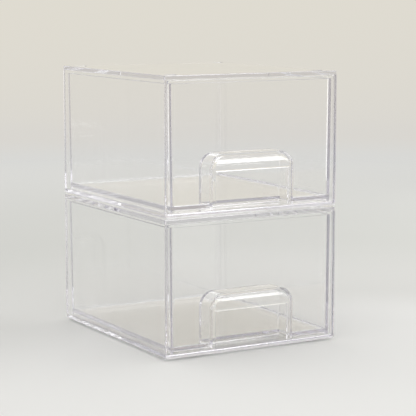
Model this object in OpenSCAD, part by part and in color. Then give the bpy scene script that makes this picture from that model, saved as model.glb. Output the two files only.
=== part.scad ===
// Two stackable drawer boxes of clear moulded plastic, one standing on the other.
// Each box is an open-fronted casing with a flat top panel bonded on, a drawer
// that slides out of the front, and four clear bumper feet.
// +Z is up, the fronts face -Y, and the origin is on the ground under the middle.

/* [Casing] */
// Outside width of a box
box_w = 164; // [130:1:220]
// Outside depth of a box
box_d = 190; // [150:1:260]
// Height of a casing, from its bottom face to the top of its top panel
casing_h = 113.5; // [95:0.5:160]
// Thickness of the casing's side walls
side_t = 2.4; // [1.8:0.1:3.5]
// Thickness of the casing's back wall
back_t = 2.4; // [1.8:0.1:3.5]
// Thickness of the casing's floor
floor_t = 3.2; // [2:0.1:4.5]
// Thickness of the top panel
top_t = 3.2; // [2:0.1:4.5]
// Radius along the casing's two lower side edges
base_edge_r = 2; // [1:0.1:3]
// Radius of the casing's upright back corners and of the top panel's corners
corner_r = 1.2; // [0.6:0.1:2]

/* [Drawer] */
// Gap between the drawer's front and the casing on each side
side_gap = 0.6; // [0.3:0.1:1.2]
// How far the drawer's front stands out past its side walls, on each side
front_lap = 1.7; // [0.5:0.1:3]
// Gap between the drawer's back and the casing's back wall, at the rim
back_gap = 0.8; // [0.4:0.1:3]
// Gap between the casing's floor and the drawer's two runners
runner_gap = 0.3; // [0.2:0.1:0.6]
// How far the drawer's runners stand below its floor
runner_h = 2.4; // [1:0.1:4]
// Thickness of the drawer's floor
drawer_floor_t = 2.4; // [1.6:0.1:3.5]
// Thickness of the drawer's side and back walls
drawer_wall_t = 2; // [1.5:0.1:3]
// Thickness of the drawer's front
front_t = 2.4; // [1.8:0.1:3.5]
// Gap round the drawer's front, above and below it
front_gap = 0.8; // [0.4:0.1:1.5]
// How far the drawer's rim stands below the top of its front
rim_drop = 2.3; // [1:0.1:6]
// Slope of the drawer's side and back walls, in degrees
draft = 0.5; // [0:0.1:1]

/* [Handle] */
// Outside width of the finger pocket
pocket_w = 80; // [60:1:100]
// Height of the pocket's roof above the drawer's lower edge
pocket_h = 45.5; // [36:0.5:60]
// Depth of the pocket behind the drawer's front face
pocket_depth = 21.4; // [17:0.1:32]
// Thickness of the pocket's walls
pocket_t = 2.4; // [1.8:0.1:3]
// Radius of the pocket's two upper corners
pocket_r = 13; // [8:0.5:18]
// Width of the flat rim on each side of the finger opening
rim_w = 5.2; // [4:0.1:7]
// Height of the grip bar across the top of the opening
bar_h = 12; // [8:0.5:15]
// Radius of the grip bar's rounded face
bar_r = 20; // [18:0.5:30]

/* [Feet] */
// Diameter of a foot
foot_d = 10; // [7:0.5:14]
// Height that the feet hold a casing above the ground
foot_h = 1.8; // [1.4:0.1:3]
// Distance from a casing's edges to the middle of a foot
foot_inset = 12; // [10:0.5:22]
// Depth of the sockets in a top panel that locate the feet of the box above
socket_depth = 0.5; // [0.3:0.1:0.9]
// Gap round a foot in its socket
socket_gap = 0.5; // [0.3:0.1:1]

/* [Hidden] */
$fn = 64;

glue_t = 0.1;          // film between a bonded piece and what it is bonded to
seat_gap = 0.1;        // air left between a resting foot and its socket
foot_taper = 0.6;      // how much narrower a foot is at the ground
upright_h = 1.4;       // height of the grip bar's lower edge up to where its face leans back
past = 1;              // how far a cutting shape runs past what it cuts

LOWER = 0;
UPPER = 1;
LEFT = -1;
RIGHT = 1;
FRONT = -1;
BACK = 1;

half_w = box_w / 2;
half_d = box_d / 2;
wall_top = casing_h - top_t - glue_t;                      // top edge of the casing's walls
stack_pitch = casing_h + foot_h - socket_depth + seat_gap; // from one box to the next

drawer_bottom = floor_t + runner_gap;                      // lower edge of the runners
drawer_floor_z = drawer_bottom + runner_h;                 // underside of the drawer's floor
drawer_inside_z = drawer_floor_z + drawer_floor_t;
front_bottom = floor_t + front_gap;
front_top = casing_h - top_t - front_gap;
rim_z = front_top - rim_drop;
front_half_w = half_w - side_t - side_gap;                 // of the drawer's front, at its top
tray_half_w = front_half_w - front_lap;                    // of its side walls, at the rim
drawer_back = half_d - back_t - back_gap;                  // at the rim
front_y = -half_d;

pocket_top = drawer_bottom + pocket_h;
hollow_w = pocket_w - 2 * pocket_t;
hollow_r = pocket_r - pocket_t;
opening_w = pocket_w - 2 * rim_w;
opening_r = pocket_r - rim_w;
opening_top = pocket_top - pocket_t;                       // underside of the pocket's roof
bar_bottom = opening_top - bar_h;
bar_axis_z = bar_bottom + upright_h;                       // where the bar's face is upright

foot_x = half_w - foot_inset;
foot_y = half_d - foot_inset;

clear_tint = [0.93, 0.93, 0.96, 0.35];
drawer_tint = [0.90, 0.91, 0.95, 0.35];
foot_tint = [0.86, 0.87, 0.90, 0.6];

// How far a sloping drawer wall has moved in at height z, seen from the rim
function lean(z) = (front_top - z) * tan(draft);

module at_level(level) {
    translate([0, 0, foot_h + level * stack_pitch]) children();
}

// Extrudes an outline drawn in X and Z from y0 to y1
module along_y(y0, y1) {
    translate([0, y1, 0]) rotate([90, 0, 0]) linear_extrude(height = y1 - y0) children();
}

// Extrudes an outline drawn in Y and Z from x0 to x1
module along_x(x0, x1) {
    translate([x0, 0, 0]) rotate([90, 0, 90]) linear_extrude(height = x1 - x0) children();
}

// Rectangle between two corners
module span(low, high) {
    translate(low) square(high - low);
}

// Block between two corners
module block(low, high) {
    translate(low) cube(high - low);
}

// Rectangle from the ground up, with round corners of radius r at its lower two corners
module round_base(w, h, r) {
    span([-w / 2 + r, 0], [w / 2 - r, h]);
    span([-w / 2, r], [w / 2, h]);
    for (side = [LEFT, RIGHT]) translate([side * (w / 2 - r), r]) circle(r);
}

// Rectangle from z0 up to z1, with round corners of radius r at its upper two corners
module arch(w, z0, z1, r) {
    span([-w / 2, z0], [w / 2, z1 - r]);
    span([-w / 2 + r, z0], [w / 2 - r, z1]);
    for (side = [LEFT, RIGHT]) translate([side * (w / 2 - r), z1 - r]) circle(r);
}

// Plan of a box, with round back corners and, where asked, round front corners
module plan(round_front) {
    front_r = round_front ? corner_r : 0;
    span([-half_w, -half_d + front_r], [half_w, half_d - corner_r]);
    span([-half_w + corner_r, -half_d], [half_w - corner_r, half_d]);
    for (side = [LEFT, RIGHT]) {
        translate([side * (half_w - corner_r), half_d - corner_r]) circle(corner_r);
        if (round_front) translate([side * (half_w - corner_r), -half_d + corner_r]) circle(corner_r);
    }
}

module casing(level) {
    color(clear_tint) at_level(level) difference() {
        intersection() {
            along_y(-half_d, half_d) round_base(box_w, wall_top, base_edge_r);
            linear_extrude(height = wall_top) plan(false);
        }
        block([-half_w + side_t, -half_d - past, floor_t],
              [half_w - side_t, half_d - back_t, wall_top + past]);
    }
}

module top_panel(level) {
    color(clear_tint) at_level(level) translate([0, 0, casing_h - top_t]) difference() {
        linear_extrude(height = top_t) plan(true);
        for (side = [LEFT, RIGHT], end = [FRONT, BACK])
            translate([side * foot_x, end * foot_y, top_t - socket_depth])
                cylinder(d = foot_d + 2 * socket_gap, h = socket_depth + past);
    }
}

// The drawer's body as a solid block, drawn in by inset on its sides and back, from z0 up
module sloping_block(inset, z0, z1, y0) {
    intersection() {
        along_y(y0, drawer_back) polygon([
            [-tray_half_w + inset + lean(z0), z0], [tray_half_w - inset - lean(z0), z0],
            [tray_half_w - inset - lean(z1), z1], [-tray_half_w + inset + lean(z1), z1]]);
        along_x(-half_w, half_w) polygon([
            [y0, z0], [drawer_back - inset - lean(z0), z0],
            [drawer_back - inset - lean(z1), z1], [y0, z1]]);
    }
}

// Front, sides, back, floor and the two runners under the floor
module drawer_tray() {
    difference() {
        sloping_block(0, drawer_bottom, rim_z, front_y + front_t);
        sloping_block(drawer_wall_t, drawer_inside_z, rim_z + past, front_y + front_t);
        sloping_block(drawer_wall_t, drawer_bottom - past, drawer_floor_z, front_y + front_t);
    }
    sloping_front();
}

module sloping_front() {
    along_y(front_y, front_y + front_t) polygon([
        [-front_half_w + lean(front_bottom), front_bottom],
        [front_half_w - lean(front_bottom), front_bottom],
        [front_half_w - lean(front_top), front_top],
        [-front_half_w + lean(front_top), front_top]]);
}

// Outside of the finger pocket, which stands inside the drawer behind its front
module pocket_outside() {
    along_y(front_y, front_y + pocket_depth) arch(pocket_w, front_bottom, pocket_top, pocket_r);
}

// Hollow of the finger pocket, open downwards, and the opening through the drawer's front
module pocket_hollow() {
    along_y(front_y + front_t, front_y + pocket_depth - pocket_t)
        arch(hollow_w, drawer_bottom - past, opening_top, hollow_r);
    along_y(front_y - past, front_y + front_t + past)
        arch(opening_w, drawer_bottom - past, opening_top, opening_r);
}

// Grip bar across the top of the opening: a curved strip whose face leans back
module grip_bar() {
    intersection() {
        along_x(-pocket_w / 2, pocket_w / 2) intersection() {
            translate([front_y + bar_r, bar_axis_z]) difference() {
                circle(bar_r, $fn = 180);
                circle(bar_r - pocket_t, $fn = 180);
            }
            span([front_y, bar_bottom], [front_y + bar_r, pocket_top]);
        }
        along_y(front_y, front_y + bar_r)
            arch(pocket_w - pocket_t, front_bottom, pocket_top - pocket_t / 2, pocket_r - pocket_t / 2);
    }
}

module drawer(level) {
    color(drawer_tint) at_level(level) {
        difference() {
            union() {
                drawer_tray();
                pocket_outside();
            }
            pocket_hollow();
        }
        grip_bar();
    }
}

module foot(level, side, end) {
    color(foot_tint) at_level(level) translate([side * foot_x, end * foot_y, -foot_h])
        cylinder(d1 = foot_d - foot_taper, d2 = foot_d, h = foot_h - glue_t);
}

casing(LOWER);  // lower_casing
top_panel(LOWER);  // lower_top_panel
drawer(LOWER);  // lower_drawer
foot(LOWER, LEFT, FRONT);  // lower_foot_front_left
foot(LOWER, RIGHT, FRONT);  // lower_foot_front_right
foot(LOWER, LEFT, BACK);  // lower_foot_back_left
foot(LOWER, RIGHT, BACK);  // lower_foot_back_right
casing(UPPER);  // upper_casing
top_panel(UPPER);  // upper_top_panel
drawer(UPPER);  // upper_drawer
foot(UPPER, LEFT, FRONT);  // upper_foot_front_left
foot(UPPER, RIGHT, FRONT);  // upper_foot_front_right
foot(UPPER, LEFT, BACK);  // upper_foot_back_left
foot(UPPER, RIGHT, BACK);  // upper_foot_back_right
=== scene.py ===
# %% [markdown]
# # Two stackable drawer boxes in clear plastic
# The real thing is a pair of equal boxes of clear styrene plastic, one standing on the other. Each
# is an open-fronted casing with a flat top plate, a drawer with an arched finger pull, and four
# feet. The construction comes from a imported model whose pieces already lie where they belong, in
# metres. Blender only dresses them: this file never moves a piece and never changes a size.

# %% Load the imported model
import math

import bmesh
import bpy
from mathutils import Matrix, Vector


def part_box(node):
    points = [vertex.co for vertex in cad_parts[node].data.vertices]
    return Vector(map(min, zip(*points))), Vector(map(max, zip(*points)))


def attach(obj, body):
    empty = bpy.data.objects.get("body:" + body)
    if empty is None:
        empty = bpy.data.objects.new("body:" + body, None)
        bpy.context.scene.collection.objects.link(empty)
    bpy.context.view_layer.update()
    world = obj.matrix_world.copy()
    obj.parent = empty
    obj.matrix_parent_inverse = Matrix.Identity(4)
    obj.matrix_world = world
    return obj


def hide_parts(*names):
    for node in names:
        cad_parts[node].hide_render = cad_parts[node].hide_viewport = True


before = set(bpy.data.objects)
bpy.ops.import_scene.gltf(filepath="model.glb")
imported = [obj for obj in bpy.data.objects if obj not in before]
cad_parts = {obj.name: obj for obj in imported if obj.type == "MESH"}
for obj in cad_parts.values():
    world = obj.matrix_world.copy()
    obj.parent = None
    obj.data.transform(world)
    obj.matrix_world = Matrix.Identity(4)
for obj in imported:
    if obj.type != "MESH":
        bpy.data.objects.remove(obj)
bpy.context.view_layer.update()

MM = 0.001

# %% [markdown]
# ## Camera
# A long lens from well back keeps the boxes' upright edges nearly parallel, as in catalogue
# pictures. The camera stands to the left of the fronts and looks slightly down, so that the front,
# the left side and a thin slice of the top show. It has no shift, so it can be moved anywhere.

# %% Camera
camera_data = bpy.data.cameras.new("camera")
camera_data.sensor_width = 36.0
camera_data.lens = 134.2
camera_yaw = math.radians(29.94)
camera_pitch = math.radians(7.95)
camera = bpy.data.objects.new("camera", camera_data)
camera.location = (-0.6611, -1.1689, 0.2958)
camera.rotation_euler = (math.pi / 2 - camera_pitch, 0, -camera_yaw)
bpy.context.scene.collection.objects.link(camera)
bpy.context.scene.camera = camera
bpy.context.scene.view_settings.view_transform = "Standard"
print("camera stands", round(camera.location.length, 2), "m from the foot of the stack")

# %% [markdown]
# ## Writing materials as nodes
# A node material is a small graph: each node takes numbers or another node's output and gives a
# result. It could be drawn by hand in the shader editor, but as code it can be read and repeated,
# and one helper is enough to write it down in order. A socket that gets a number keeps it, and a
# socket that gets another node's output is linked to it.

# %% A helper for node graphs
def new_material(name):
    """A material with an empty node tree, and that tree."""
    material = bpy.data.materials.new(name)
    material.use_nodes = True
    material.node_tree.nodes.clear()
    return material, material.node_tree


def add(tree, kind, sockets, **settings):
    """Adds a node. Sockets go by name or number, and each takes a value or a node's output."""
    node = tree.nodes.new(kind)
    for name, value in settings.items():
        setattr(node, name, value)
    for socket, value in sockets.items():
        if isinstance(value, bpy.types.NodeSocket):
            tree.links.new(value, node.inputs[socket])
        else:
            node.inputs[socket].default_value = value
    return node


# %% [markdown]
# ## Floor and backdrop
# Clear plastic has next to no colour of its own: it shows what stands behind and around it. So the
# studio matters more than usual. A floor that sweeps up into a round wall has no edge anywhere,
# and whatever side the boxes are seen from, they show one calm pale surface. It could be a plane
# and a bent backdrop, but only a full bowl also fills the reflections of the sides turned away.
#
# Its mesh is a row of rings, each joined to the next by a band of four-sided faces. The boxes'
# pieces are made in the same way further down, so both steps are helpers.

# %% Helpers for meshes made of rings
def full_turn(steps):
    """The angles of one whole turn, in equal steps."""
    return [2 * math.pi * k / steps for k in range(steps)]


def join_rings(mesh, rings):
    """Joins each ring of points to the next by a band of faces."""
    for ring, following in zip(rings, rings[1:]):
        for k in range(len(ring)):
            after = (k + 1) % len(ring)
            mesh.faces.new((ring[k], ring[after], following[after], following[k]))


def add_object(name, mesh):
    """Puts a bmesh into the scene as an object of this name, and frees the bmesh."""
    data = bpy.data.meshes.new(name)
    mesh.to_mesh(data)
    mesh.free()
    made = bpy.data.objects.new(name, data)
    bpy.context.scene.collection.objects.link(made)
    return made


# %% A round studio
floor_radius = 2.2
cove_radius = 0.9
wall_height = 1.0
bowl_radius = floor_radius + cove_radius
bowl_steps = 128
floor_radii = (1.5, 0.8, 0.3, 0.05)


def make_bowl():
    """The studio's surface, from the wall's top down the cove to the middle of the floor."""
    cove_turns = [math.radians(angle) for angle in range(90, -1, -6)]
    profile = [(bowl_radius, wall_height)]
    profile += [(floor_radius + cove_radius * math.sin(turn), cove_radius * (1 - math.cos(turn)))
                for turn in cove_turns]
    profile += [(radius, 0) for radius in floor_radii]
    mesh = bmesh.new()
    rings = [[mesh.verts.new((radius * math.cos(turn), radius * math.sin(turn), height))
              for turn in full_turn(bowl_steps)] for radius, height in profile]
    join_rings(mesh, rings)
    mesh.faces.new(rings[-1])
    bowl = add_object("studio", mesh)
    bowl.data.shade_smooth()
    return bowl


studio = make_bowl()
print("studio bowl:", 2 * bowl_radius, "m across")

# %% [markdown]
# The paint is a soft gradient by the distance from a point before the boxes and a little to their
# right: nearly white there, a cooler grey behind them and a warm cream on the wall. The grey and
# the cream are the colours of a pale counter before a painted wall. The near white around the
# point is painted light: a pool of light that is lightest before the boxes, a little to the right,
# and fades into the counter's grey with distance, so the floor is darker to the left of the boxes.
# Each stop gives a distance in metres and the colour there. Close to the boxes, up to matte_to,
# the floor is an ordinary matte surface and takes their shadow. From glowing_from on, camera rays
# and the rays that the plastic mirrors or lets through see the colour itself, so that it doesn't
# depend on where the lamps stand. Between the two distances one turns into the other.

# %% Studio colours
# The near white is painted light on the pale counter; the other colours are the counter's and the wall's
# own.
near_white = (0.76, 0.76, 0.75)
counter_pale = (0.66, 0.66, 0.645)
counter_grey = (0.60, 0.605, 0.585)
far_counter = (0.69, 0.69, 0.67)
wall_foot = (0.695, 0.675, 0.635)
wall_cream = (0.745, 0.715, 0.635)
# Middle of the painted pool of light, before the boxes and a little to their right.
painted_light_middle = (0.03, -0.26, 0)
paint_reach = 3.35
paint_stops = [(0.0, near_white), (0.28, near_white), (0.41, counter_pale), (0.76, counter_grey),
               (1.6, far_counter), (2.1, wall_foot), (paint_reach, wall_cream)]
matte_to = 0.6
glowing_from = 1.4
print("studio paint:", len(paint_stops), "stops over", paint_reach, "m")


# %% Studio paint
def make_studio_paint():
    paint, tree = new_material("studio_paint")
    place = add(tree, "ShaderNodeTexCoord", {}).outputs["Object"]
    flat = add(tree, "ShaderNodeVectorMath", {0: place, 1: (1, 1, 0)}, operation="MULTIPLY").outputs[0]
    from_stack = add(tree, "ShaderNodeVectorMath", {0: flat}, operation="LENGTH")
    # Distance from the middle of the painted pool of light.
    from_middle = add(tree, "ShaderNodeVectorMath", {0: flat, 1: painted_light_middle}, operation="DISTANCE")
    share = add(tree, "ShaderNodeMath", {0: from_middle.outputs["Value"], 1: paint_reach},
                operation="DIVIDE")
    ramp = add(tree, "ShaderNodeValToRGB", {0: share.outputs[0]})
    ramp.color_ramp.interpolation = "EASE"
    elements = ramp.color_ramp.elements
    for k, (distance, color) in enumerate(paint_stops):
        position = distance / paint_reach
        element = elements[k] if k < len(elements) else elements.new(position)
        element.position = position
        element.color = (*color, 1)
    light_path = add(tree, "ShaderNodeLightPath", {})
    seen = light_path.outputs["Is Camera Ray"]
    for kind in ("Is Glossy Ray", "Is Transmission Ray"):
        either = add(tree, "ShaderNodeMath", {0: seen, 1: light_path.outputs[kind]}, operation="MAXIMUM")
        seen = either.outputs[0]
    away = add(tree, "ShaderNodeMapRange", {"Value": from_stack.outputs["Value"],
                                            "From Min": matte_to, "From Max": glowing_from})
    glowing = add(tree, "ShaderNodeMath", {0: seen, 1: away.outputs[0]}, operation="MULTIPLY")
    matte = add(tree, "ShaderNodeBsdfDiffuse", {"Color": ramp.outputs[0]})
    glow = add(tree, "ShaderNodeEmission", {"Color": ramp.outputs[0]})
    mixed = add(tree, "ShaderNodeMixShader", {0: glowing.outputs[0], 1: matte.outputs[0],
                                              2: glow.outputs[0]})
    add(tree, "ShaderNodeOutputMaterial", {"Surface": mixed.outputs[0]})
    return paint


studio.data.materials.append(make_studio_paint())

# %% [markdown]
# ## Light
# The bowl is open at the top, and the world above it is an even white: it lights the scene like a
# white tent. Clear things also need something bright for their edges to catch. The key, before the
# boxes on the right, draws the long highlight on the grip bars and a soft shadow to the left. It
# hangs high enough that neither the flat fronts nor, seen from behind, the level plates and floors
# mirror it. A low card at the right shows as the light line in the upright corners. It is a little
# dimmer than the world, because from the right the boxes' sides mirror it as a large pale area,
# which mustn't clip to white. The rim light hangs high behind the boxes: light that enters a round
# front edge and runs through the plate comes out at that steep angle, so the lamp is seen as a
# thin white line all along the edge.

# %% World
world_light = (1.0, 0.995, 0.98)
world = bpy.data.worlds.new("room")
bpy.context.scene.world = world
world.use_nodes = True
background = world.node_tree.nodes["Background"]
background.inputs["Color"].default_value = (*world_light, 1)
background.inputs["Strength"].default_value = 1.0
print("world light:", world_light)

# %% Softboxes
middle_of_stack = Vector((0, 0, 0.11))


def softbox(name, place, width, height, radiance):
    """A rectangular lamp that faces the stack. Its power follows from its size and its brightness."""
    data = bpy.data.lights.new(name, "AREA")
    data.shape = "RECTANGLE"
    data.size = width
    data.size_y = height
    data.energy = radiance * math.pi * width * height
    lamp = bpy.data.objects.new(name, data)
    lamp.location = place
    lamp.rotation_euler = (middle_of_stack - Vector(place)).to_track_quat("-Z", "Y").to_euler()
    lamp.visible_camera = False
    bpy.context.scene.collection.objects.link(lamp)
    print(f"{name}: {data.energy:.1f} W")


softbox("key", (0.77, -1.29, 0.90), width=0.8, height=0.5, radiance=3.6)
softbox("low_card", (0.95, 0.15, 0.2), width=0.9, height=0.36, radiance=0.9)
softbox("rim_light", (1.16, 1.59, 1.49), width=1.1, height=0.9, radiance=1.7)

# %% [markdown]
# ## Making moulded shapes
# Every piece here is a moulding with flat faces, small round edges and straight pulls. A bevel
# modifier could round a box's edges, but on thin clear walls its corner patches show as flaws, and
# the arch and the fillets would still be missing. So each outline is drawn with its corner arcs,
# and a solid is lofted through copies of it that shrink or flare towards the ends. From here on
# lengths are in millimetres, as on a drawing, and the loft turns them into metres.

# %% Outlines with round corners
arc_steps = 6
fine_arc_steps = 10
least_radius = 0.05


def rectangle(x0, x1, y0, y1):
    return [(x0, y0), (x1, y0), (x1, y1), (x0, y1)]


def rounded(corners, radii, inset=0.0, steps=arc_steps):
    """Outline through convex corners, drawn in by inset, with an arc where a corner has a radius."""
    outline = []
    for k, corner in enumerate(corners):
        corner = Vector(corner)
        to_last = (Vector(corners[k - 1]) - corner).normalized()
        to_next = (Vector(corners[(k + 1) % len(corners)]) - corner).normalized()
        half_angle = to_last.angle(to_next) / 2
        inward = (to_last + to_next).normalized()
        corner = corner + inward * (inset / math.sin(half_angle))
        if radii[k] == 0:
            outline.append(corner)
            continue
        radius = max(radii[k] - inset, least_radius)
        centre = corner + inward * (radius / math.sin(half_angle))
        for step in range(steps + 1):
            turn = (math.pi - 2 * half_angle) * (step / steps - 0.5)
            outline.append(centre + Matrix.Rotation(turn, 2) @ (-inward * radius))
    return outline


# %% A solid lofted through outlines
def loft(name, axis, sections):
    """Closed mesh through outlines of equally many points, each with its place along the axis."""
    at = {"X": lambda place, p: (place, p[0], p[1]),
          "Y": lambda place, p: (p[0], place, p[1]),
          "Z": lambda place, p: (p[0], p[1], place)}[axis]
    mesh = bmesh.new()
    rings = [[mesh.verts.new(Vector(at(place, p)) * MM) for p in outline]
             for place, outline in sections]
    join_rings(mesh, rings)
    mesh.faces.new(rings[0])
    mesh.faces.new(rings[-1])
    bmesh.ops.recalc_face_normals(mesh, faces=mesh.faces)
    return add_object(name, mesh)


# %% [markdown]
# A prism is a loft whose ends are shaped: a round edge draws the outline in towards the end, and a
# mouth flares it outwards, which leaves a round edge on what the prism is cut from. A cutter
# reaches PAST millimetres beyond the face that it opens, because two faces in one plane would give
# a boolean nothing to decide by.

# %% Prisms with shaped ends
PAST = 2.0
edge_steps = 4


def quarter_turn(steps):
    """The angles of a quarter turn, both ends included."""
    return [math.pi / 2 * k / steps for k in range(steps + 1)]


def end_profile(radius):
    """(way in, inset) pairs at an end: a round edge, or a flared mouth for a negative radius."""
    if radius == 0:
        return [(0, 0)]
    size = abs(radius)
    turns = quarter_turn(edge_steps)
    if radius > 0:
        return [(size * (1 - math.cos(turn)), size * (1 - math.sin(turn))) for turn in turns]
    return [(-PAST, -size)] + [(size * math.sin(turn), -size * math.cos(turn)) for turn in turns]


def prism(name, axis, corners, radii, start, end, start_edge=0, end_edge=0, steps=arc_steps):
    """Prism along an axis. corners is a list, or a function of the place along the axis."""
    places = [(start + way, inset) for way, inset in end_profile(start_edge)]
    places += [(end - way, inset) for way, inset in reversed(end_profile(end_edge))]
    outline_at = corners if callable(corners) else lambda place: corners
    return loft(name, axis, [(place, rounded(outline_at(place), radii, inset, steps))
                             for place, inset in places])


# %% [markdown]
# Pockets and cavities are cut with the exact boolean solver, which keeps large flat faces whole.
# Afterwards each flat face has to look truly flat, because clear walls show the slightest bend in
# the shading. Weighted normals do that: the large faces decide, and the small arcs blend into them.

# %% Joining and cutting solids
def combine(body, tool, operation):
    """Applies a boolean to the body, and uses the tool up."""
    modifier = body.modifiers.new(operation, "BOOLEAN")
    modifier.operation = operation
    modifier.solver = "EXACT"
    modifier.object = tool
    graph = bpy.context.evaluated_depsgraph_get()
    graph.update()
    made = bpy.data.meshes.new_from_object(body.evaluated_get(graph))
    body.modifiers.clear()
    body.data = made
    bpy.data.objects.remove(tool)


# %% Finishing a solid
merge_within = 0.004
no_edge_under = 0.002
sharp_from = math.radians(40)
flat_face_weight = 90


def finish_solid(solid, name, material):
    """Names the solid, merges its doubles and sets its normals and material."""
    solid.name = name
    mesh = bmesh.new()
    mesh.from_mesh(solid.data)
    bmesh.ops.remove_doubles(mesh, verts=mesh.verts, dist=merge_within * MM)
    bmesh.ops.dissolve_degenerate(mesh, edges=mesh.edges, dist=no_edge_under * MM)
    open_edges = sum(len(edge.link_faces) != 2 for edge in mesh.edges)
    volume = mesh.calc_volume() / (10 * MM) ** 3
    mesh.to_mesh(solid.data)
    mesh.free()
    solid.data.materials.clear()
    solid.data.materials.append(material)
    solid.data.shade_smooth()
    solid.data.set_sharp_from_angle(angle=sharp_from)
    normals = solid.modifiers.new("flat_faces", "WEIGHTED_NORMAL")
    normals.keep_sharp = True
    normals.weight = flat_face_weight
    print(f"{name}: {len(solid.data.polygons)} faces, {open_edges} open edges, {volume:.1f} cm3")
    return solid


# %% [markdown]
# The upper box is the same moulding as the lower one. It gets copies of the lower box's meshes,
# lifted inside the mesh, so that every object's own place stays the origin. The lift is measured
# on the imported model.

# %% The second box
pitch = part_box("upper_casing")[0].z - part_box("lower_casing")[0].z


def in_mm(node):
    """The lowest and highest corner of a node's box, in millimetres."""
    low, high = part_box(node)
    return low / MM, high / MM


def lifted_copy(solid, name):
    copy = solid.copy()
    copy.name = name
    copy.data = solid.data.copy()
    copy.data.transform(Matrix.Translation((0, 0, pitch)))
    bpy.context.scene.collection.objects.link(copy)
    return copy


print("one box above the other by", round(pitch / MM, 2), "mm")

# %% [markdown]
# ## Clear plastic
# Styrene plastics bend light more than window glass does, and this one is a little lavender along
# a long path, which is why the cut ends of the walls look darker than their faces. Tinting the
# surface would colour the faces as much as the ends, so the surface stays white and the colour is
# an absorption inside the solid. Slow waves in the normal are the moulding's flow marks, and
# patches of very slight roughness, the haze, are where it was wiped. Shadow rays pass straight
# through, because caustics would take far too many samples for what is a faint even shade.

# %% Clear plastic
plastic_ior = 1.57
lavender = (0.89, 0.885, 0.91)
shade_through = (0.98, 0.98, 0.981)
wave_height = 0.02


def make_clear_plastic(name, haze, depth_of_tint):
    plastic, tree = new_material(name)
    place = add(tree, "ShaderNodeTexCoord", {}).outputs["Object"]
    flow = add(tree, "ShaderNodeTexNoise", {"Vector": place, "Scale": 18.0, "Detail": 2.0})
    waves = add(tree, "ShaderNodeBump", {"Height": flow.outputs["Fac"], "Strength": 0.03,
                                         "Distance": wave_height * MM})
    wiped = add(tree, "ShaderNodeTexNoise", {"Vector": place, "Scale": 60.0, "Detail": 6.0})
    patches = add(tree, "ShaderNodeMapRange", {"Value": wiped.outputs["Fac"], "From Min": 0.35,
                                               "From Max": 0.75, "To Min": 0.0, "To Max": haze})
    surface = add(tree, "ShaderNodeBsdfPrincipled", {
        "Base Color": (1, 1, 1, 1), "Transmission Weight": 1.0, "IOR": plastic_ior,
        "Roughness": patches.outputs["Result"], "Normal": waves.outputs["Normal"]})
    is_shadow = add(tree, "ShaderNodeLightPath", {}).outputs["Is Shadow Ray"]
    through = add(tree, "ShaderNodeBsdfTransparent", {"Color": (*shade_through, 1)})
    mixed = add(tree, "ShaderNodeMixShader", {0: is_shadow, 1: surface.outputs[0],
                                              2: through.outputs[0]})
    inside = add(tree, "ShaderNodeVolumeAbsorption", {"Color": (*lavender, 1),
                                                      "Density": depth_of_tint})
    add(tree, "ShaderNodeOutputMaterial", {"Surface": mixed.outputs[0], "Volume": inside.outputs[0]})
    return plastic


casing_plastic = make_clear_plastic("casing_plastic", haze=0.004, depth_of_tint=9.0)
drawer_plastic = make_clear_plastic("drawer_plastic", haze=0.004, depth_of_tint=21.0)
foot_gel = make_clear_plastic("foot_gel", haze=0.2, depth_of_tint=10.0)
print("plastics:", [plastic.name for plastic in (casing_plastic, drawer_plastic, foot_gel)])

# %% [markdown]
# ## Casing
# The casing is one moulding: a floor, two sides and a back, open to the front and to the top. Its
# lower side edges are visibly rounder than the rest. The outside is lofted upwards, so that each
# height can draw the outline in by its own amount on the sides and on the ends. The room inside is
# a prism from front to back whose mouth flares, which rounds the rim of the opening.

# %% Casing
casing_low, casing_high = in_mm("lower_casing")
wall_t = 2.4
floor_t = 3.2
base_edge = 2.0
end_edge = 1.2
base_steps = 6
front_corner = 0.4
back_corner = 0.8
room_corner = 0.6
rim_edge = 1.2


def casing_plan(z):
    """Plan at height z. Near the bottom it draws in, further on the sides than on the ends."""
    rise = min((z - casing_low.z) / base_edge, 1)
    share = 1 - math.sqrt(1 - (1 - rise) ** 2)
    return rectangle(casing_low.x + base_edge * share, casing_high.x - base_edge * share,
                     casing_low.y + end_edge * share, casing_high.y - end_edge * share)


heights = [casing_low.z + base_edge * (1 - math.cos(turn)) for turn in quarter_turn(base_steps)]
heights.append(casing_high.z)
corner_radii = (front_corner, front_corner, back_corner, back_corner)
casing = loft("casing", "Z", [(z, rounded(casing_plan(z), corner_radii)) for z in heights])
room_outline = rectangle(casing_low.x + wall_t, casing_high.x - wall_t,
                         casing_low.z + floor_t, casing_high.z + PAST)
room = prism("room", "Y", room_outline, (room_corner, room_corner, 0, 0),
             casing_low.y, casing_high.y - wall_t, start_edge=-rim_edge, end_edge=room_corner)
combine(casing, room, "DIFFERENCE")
finish_solid(casing, "lower_casing_shell", casing_plastic)
casings = [casing, lifted_copy(casing, "upper_casing_shell")]

# %% [markdown]
# ## Top plate
# A flat plate is bonded on the walls. Its rim is rounder above than below, which one bevel
# couldn't give and the prism's two ends can. Four shallow round sockets near the corners take the
# feet of the box above. A socket is a square outline whose corner arcs all but meet, because arcs
# that met would leave doubled points.

# %% Top plate
plate_low, plate_high = in_mm("lower_top_panel")
plate_corner = 1.2
plate_lower_edge = 0.3
plate_upper_edge = 0.5
socket_r = 5.5
socket_depth = 0.5
socket_edge = 0.2
socket_corner = socket_r * 0.999
foot_low, foot_high = in_mm("upper_foot_front_left")
foot_x, foot_y = -(foot_low + foot_high).xy / 2

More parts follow.
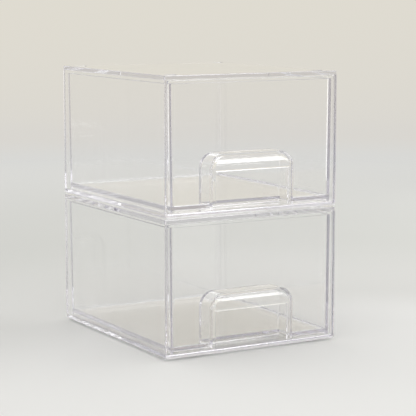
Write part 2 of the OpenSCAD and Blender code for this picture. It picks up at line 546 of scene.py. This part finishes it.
plate = prism("plate", "Z", rectangle(plate_low.x, plate_high.x, plate_low.y, plate_high.y),
              (plate_corner,) * 4, plate_low.z, plate_high.z,
              start_edge=plate_lower_edge, end_edge=plate_upper_edge)
for x in (-foot_x, foot_x):
    for y in (-foot_y, foot_y):
        square = rectangle(x - socket_r, x + socket_r, y - socket_r, y + socket_r)
        socket = prism("socket", "Z", square, (socket_corner,) * 4, plate_high.z - socket_depth,
                       plate_high.z + PAST, start_edge=socket_edge, steps=fine_arc_steps)
        combine(plate, socket, "DIFFERENCE")
finish_solid(plate, "lower_top_plate", casing_plastic)
plates = [plate, lifted_copy(plate, "upper_top_plate")]

# %% [markdown]
# ## Drawer
# The drawer is one moulding too. Its body is drawn in a little towards the bottom, so that it comes
# out of the mould, and its front plate stands out past the sides. The body bites a little into the
# front, so that the two overlap where they are joined.

# %% Drawer body and front
drawer_low, drawer_high = in_mm("lower_drawer")
draft = math.tan(math.radians(0.5))
front_t = 2.4
front_lap = 1.7
front_above_runner = 0.5
front_plate_corner = 1.2
front_face_edge = 0.4
front_rear_edge = 0.3
drawer_base_edge = 1.0
drawer_rim_edge = 0.5
rim_drop = 2.3
bite = 0.4
front_back = drawer_low.y + front_t
rim = drawer_high.z - rim_drop


def tray_plan(front, inset):
    """The drawer's plan as a function of height, drawn in by inset on its sides and back."""
    def plan(z):
        lean = (drawer_high.z - z) * draft + inset
        side = drawer_high.x - front_lap - lean
        return rectangle(-side, side, front, drawer_high.y - lean)
    return plan


drawer = prism("drawer", "Z", tray_plan(front_back - bite, 0), (0, 0, back_corner, back_corner),
               drawer_low.z, rim, start_edge=drawer_base_edge, end_edge=drawer_rim_edge)
front_lean = (drawer_high.z - drawer_low.z) * draft
front_outline = [(-drawer_high.x + front_lean, drawer_low.z + front_above_runner),
                 (drawer_high.x - front_lean, drawer_low.z + front_above_runner),
                 (drawer_high.x, drawer_high.z), (-drawer_high.x, drawer_high.z)]
front = prism("front", "Y", front_outline, (front_plate_corner,) * 4, drawer_low.y, front_back,
              start_edge=front_face_edge, end_edge=front_rear_edge)
combine(drawer, front, "UNION")
print("drawer draws in by", round(front_lean, 2), "mm a side")

# %% [markdown]
# The finger pocket rises inside, behind the front. Between the cavity above it and the hollow below
# it stands the pocket's wall, so the pocket's outside is taken away from the cutters before they
# cut. One cutter is the cavity, and the other is the space under the floor, which leaves the walls'
# lower ends as runners. The fillets along the front and the floor of the cavity are larger than the
# round edges outside, because the steel core that makes them has round edges. They catch the light
# as the bright lines in the corners.

# %% Drawer cavity
runner_h = 2.4
drawer_floor_t = 2.4
drawer_wall_t = 2.0
under_floor = drawer_low.z + runner_h
inside_floor = under_floor + drawer_floor_t
front_fillet = 2.2
floor_fillet = 1.4
under_fillet = 0.6
mouth_edge = 0.4
sliver = 0.03
cavity_plan = tray_plan(front_back - sliver, drawer_wall_t)
cavity_radii = (front_fillet, front_fillet, room_corner, room_corner)
cavity = prism("cavity", "Z", cavity_plan, cavity_radii, inside_floor, rim,
               start_edge=floor_fillet, end_edge=-mouth_edge)
under = prism("under", "Z", cavity_plan, cavity_radii, drawer_low.z - PAST, under_floor,
              end_edge=under_fillet)
print("drawer holds a depth of", round(rim - inside_floor, 1), "mm")

# %% Finger pocket
pocket_w = 80.0
pocket_h = 45.5
pocket_depth = 21.4
pocket_t = 2.4
pocket_r = 13.0
pocket_root = 1.0
pocket_edge = 1.4
pocket_top = drawer_low.z + pocket_h
pocket_back = drawer_low.y + pocket_depth


def arch(width, bottom, top):
    return rectangle(-width / 2, width / 2, bottom, top)


def arch_radii(radius):
    return (0, 0, radius, radius)


for space in (cavity, under):
    pocket = prism("pocket", "Y", arch(pocket_w, drawer_low.z, pocket_top), arch_radii(pocket_r),
                   drawer_low.y + pocket_root, pocket_back, end_edge=pocket_edge,
                   steps=fine_arc_steps)
    combine(space, pocket, "DIFFERENCE")
    combine(drawer, space, "DIFFERENCE")
print("finger pocket:", pocket_w, "x", pocket_h, "mm, and", pocket_depth, "mm deep")

# %% Hollow of the pocket and opening in the front
opening_side = 5.2
opening_edge = 0.5
opening_past = 0.5
hollow_edge = 1.0
roof = pocket_top - pocket_t
hollow_w = pocket_w - 2 * pocket_t
opening_w = pocket_w - 2 * opening_side
hollow = prism("hollow", "Y", arch(hollow_w, drawer_low.z - PAST, roof),
               arch_radii(pocket_r - pocket_t), front_back - sliver, pocket_back - pocket_t,
               end_edge=hollow_edge, steps=fine_arc_steps)
combine(drawer, hollow, "DIFFERENCE")
opening = prism("opening", "Y", arch(opening_w, drawer_low.z - PAST, roof),
                arch_radii(pocket_r - opening_side), drawer_low.y, front_back + opening_past,
                start_edge=-opening_edge, steps=fine_arc_steps)
combine(drawer, opening, "DIFFERENCE")
print("opening for the fingers:", round(opening_w, 1), "mm wide")

# %% [markdown]
# ## Grip bar
# The bar across the top of the opening is a strip that curves back as it rises, with a rolled
# lower lip. It could be swept along a curve, but its section is the same all along, so a straight
# loft is enough. The section is two arcs about one axis, closed by the lip's half circle. An arch
# along the middle of the pocket's wall trims the bar, so that its ends stay inside that wall.

# %% Section of the grip bar
bar_r = 20.0
bar_h = 12.0
upright_h = 1.4
bar_sunk = 0.05
bar_steps = 20
lip_steps = 8
lip_r = pocket_t / 2
bar_bottom = roof - bar_h
bar_axis = Vector((drawer_low.y + bar_sunk + bar_r, bar_bottom + upright_h))


def on_bar(radius, height):
    """Point of the section at this height, on the arc of this radius about the bar's axis."""
    return bar_axis.x - math.sqrt(radius ** 2 - (height - bar_axis.y) ** 2), height


bar_rise = pocket_top - bar_bottom - lip_r
bar_heights = [bar_bottom + lip_r + bar_rise * k / bar_steps for k in range(bar_steps + 1)]
face = [on_bar(bar_r, z) for z in bar_heights]
back = [on_bar(bar_r - pocket_t, z) for z in reversed(bar_heights)]
lip_middle = (Vector(face[0]) + Vector(back[-1])) / 2
lip_turns = [math.pi * k / lip_steps for k in range(1, lip_steps)]
lip = [(lip_middle.x + lip_r * math.cos(turn), lip_middle.y - lip_r * math.sin(turn))
       for turn in lip_turns]
print("grip bar leans back by", round(face[-1][0] - face[0][0], 1), "mm")

# %% Grip bar
trim_past = 1.0
bar = loft("bar", "X", [(x, face + back + lip) for x in (-pocket_w / 2, pocket_w / 2)])
trim = prism("trim", "Y", arch(pocket_w - pocket_t, drawer_low.z, pocket_top - pocket_t / 2),
             arch_radii(pocket_r - pocket_t / 2), drawer_low.y - trim_past, drawer_low.y + bar_r,
             steps=fine_arc_steps)
combine(bar, trim, "INTERSECT")
combine(drawer, bar, "UNION")
finish_solid(drawer, "lower_drawer_tray", drawer_plastic)
drawers = [drawer, lifted_copy(drawer, "upper_drawer_tray")]

# %% [markdown]
# ## Feet
# Each foot is a small clear bumper, a short cone with a soft lower edge. Blender's own cone would
# have sharp rims, so the foot is a handful of rings, made once for each foot where the packed
# model has it.

# %% Feet
foot_taper = 0.3
foot_soft_edge = 0.6
foot_upper_edge = 0.1
foot_steps = 40


def make_foot(node):
    low, high = in_mm(node)
    centre = (low + high) / 2
    radius = (high.x - low.x) / 2
    rings = [(low.z + way, radius - foot_taper - inset)
             for way, inset in end_profile(foot_soft_edge)]
    rings += [(high.z - foot_upper_edge, radius), (high.z, radius - foot_upper_edge)]
    sections = [(z, [(centre.x + r * math.cos(turn), centre.y + r * math.sin(turn))
                     for turn in full_turn(foot_steps)]) for z, r in rings]
    return finish_solid(loft("foot", "Z", sections), node + "_bumper", foot_gel)


feet = {node: make_foot(node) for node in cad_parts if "foot" in node}
print(len(feet), "feet")

# %% [markdown]
# ## Putting the pieces in place of the plain ones
# Each piece stands for one node of the imported model: that node is hidden, and the piece rides on
# an empty named for the node's body, which is made if it isn't there yet. The pieces could be
# parented by hand. A node name that isn't in the imported model stops the script.

# %% Ride and replace
for k, level in enumerate(("lower", "upper")):
    for piece, node, body, slot in ((casings[k], "casing", "box", "casing_plastic"),
                                    (plates[k], "top_panel", "box", "casing_plastic"),
                                    (drawers[k], "drawer", "drawer", "drawer_plastic")):
        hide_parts(f"{level}_{node}")
        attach(piece, f"{level}_{body}")

for node, foot in feet.items():
    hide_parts(node)
    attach(foot, node.split("_")[0] + "_box")
print(len(casings + plates + drawers) + len(feet), "pieces in place")

# %% [markdown]
# ## Light paths
# A ray that enters the end of a clear wall bounces along inside it, and the round edges can keep
# it there for hundreds of turns. With too few bounces it is lost and the wall's end turns dark, so
# the limits are set about as high as they go. Most rays leave long before, so this costs little.
# The last limit is how many clear surfaces a shadow ray may cross.

# %% Light paths through nested clear walls
most_bounces = 1000
most_crossings = 40
cycles = bpy.context.scene.cycles
cycles.max_bounces = most_bounces
cycles.transmission_bounces = most_bounces
cycles.glossy_bounces = most_bounces
cycles.transparent_max_bounces = most_crossings
print("rays may bounce", cycles.max_bounces, "times")
